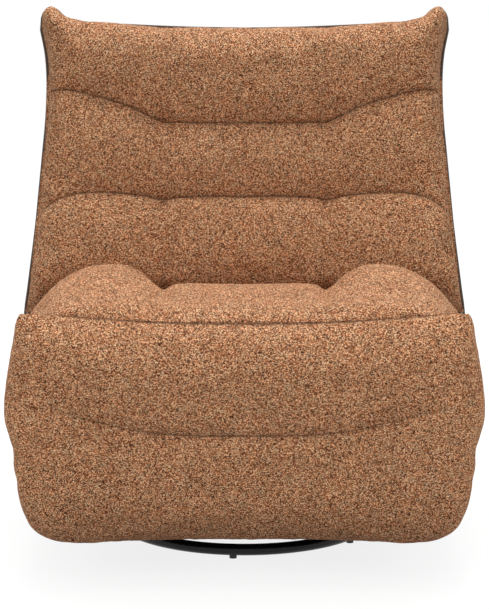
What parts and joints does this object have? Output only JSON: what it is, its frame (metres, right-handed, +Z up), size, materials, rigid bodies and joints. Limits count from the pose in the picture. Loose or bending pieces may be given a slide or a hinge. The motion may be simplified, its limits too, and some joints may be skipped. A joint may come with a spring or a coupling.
{
  "type": "swivel recliner chair",
  "caption": "Wide armless lounge recliner with a rolled tufted back, a fold-out front pad and a swivelling, rocking seat on a tubular ring base.",
  "frame": {"origin": "on the floor under the swivel axis, at the middle of the chair's footprint", "axes": "+Z up, -Y towards the front of the seat, +X to the right of someone facing the chair"},
  "size_m": [0.8518, 0.9697, 0.9652],
  "materials": {
    "boucle": "matte",
    "black_metal": "gloss",
    "zinc_steel": "satin",
    "black_plastic": "satin",
    "nylon": "satin",
    "timber": "matte",
    "felt": "matte",
    "webbing": "matte"
  },
  "bodies": {
    "base": {"base_ring": "black_metal", "glide_feet": "black_plastic", "base_spider": "black_metal", "pivot_post": "black_metal", "thrust_washer": "nylon", "post_nut": "zinc_steel"},
    "swivel_stage": {"swivel_hub": "black_metal", "swivel_plate": "black_metal", "left_rocker_ear": "black_metal", "right_rocker_ear": "black_metal", "rock_shaft": "zinc_steel", "rock_springs": "zinc_steel"},
    "seat": {"rock_saddle": "black_metal", "chassis_plate": "black_metal", "chassis_bolts": "zinc_steel", "front_cross_tube": "black_metal", "rear_cross_tube": "black_metal", "left_mechanism_plate": "black_metal", "right_mechanism_plate": "black_metal", "left_side_rail": "timber", "right_side_rail": "timber", "rail_bolts": "zinc_steel", "front_rail": "timber", "rear_rail": "timber", "seat_springs": "zinc_steel", "deck_felt": "felt", "seat_cushion": "boucle", "left_side_panel": "boucle", "right_side_panel": "boucle", "rear_apron": "boucle", "back_hinge_pins": "zinc_steel", "hinge_washers": "nylon"},
    "footrest_drive": {"drive_tube": "black_metal", "left_drive_arm": "black_metal", "right_drive_arm": "black_metal", "release_lever": "black_metal", "lever_grip": "black_plastic"},
    "footrest_linkage": {"left_footrest_link": "black_metal", "right_footrest_link": "black_metal", "lower_link_pins": "zinc_steel"},
    "footrest": {"left_footrest_bracket": "black_metal", "right_footrest_bracket": "black_metal", "upper_link_pins": "zinc_steel", "footrest_board": "timber", "board_screws": "zinc_steel", "footrest_pad": "boucle"},
    "back": {"left_back_bracket": "black_metal", "right_back_bracket": "black_metal", "left_back_upright": "timber", "right_back_upright": "timber", "bracket_bolts": "zinc_steel", "lower_back_rail": "timber", "middle_back_rail": "timber", "top_back_rail": "timber", "back_webbing": "webbing", "left_side_bolster": "boucle", "right_side_bolster": "boucle", "top_padding": "boucle", "rear_panel": "boucle", "back_cushion": "boucle"}
  },
  "joints": [
    {"name": "swivel", "type": "hinge", "parent": "base", "child": "swivel_stage", "pos_m": [0, 0, 0.06], "axis": [0, 0, 1], "continuous": true},
    {"name": "rock", "type": "hinge", "parent": "swivel_stage", "child": "seat", "pos_m": [0, 0, 0.132], "axis": [-1, 0, 0], "range_deg": [-4, 6], "stiffness_Nm_per_rad": 900, "springref_deg": 0.36, "deforming": ["rock_springs"]},
    {"name": "footrest_open", "type": "hinge", "parent": "seat", "child": "footrest_drive", "pos_m": [0, -0.2557, 0.2641], "axis": [-1, 0, 0], "range_deg": [0, 88.8]},
    {"name": "footrest_link", "type": "hinge", "parent": "footrest_drive", "child": "footrest_linkage", "pos_m": [0, -0.2727, 0.1241], "axis": [1, 0, 0], "range_deg": [0, 134.71]},
    {"name": "footrest_tilt", "type": "hinge", "parent": "footrest_linkage", "child": "footrest", "pos_m": [0, -0.3497, 0.3441], "axis": [-1, 0, 0], "range_deg": [0, 135.91]},
    {"name": "recline", "type": "hinge", "parent": "seat", "child": "back", "pos_m": [0, 0.155, 0.3241], "axis": [-1, 0, 0], "range_deg": [0, 35]}
  ],
  "couplings": [
    {"joint": "footrest_link", "follows": "footrest_open", "ratio": 1.5148},
    {"joint": "footrest_tilt", "follows": "footrest_open", "ratio": 1.5283}
  ]
}
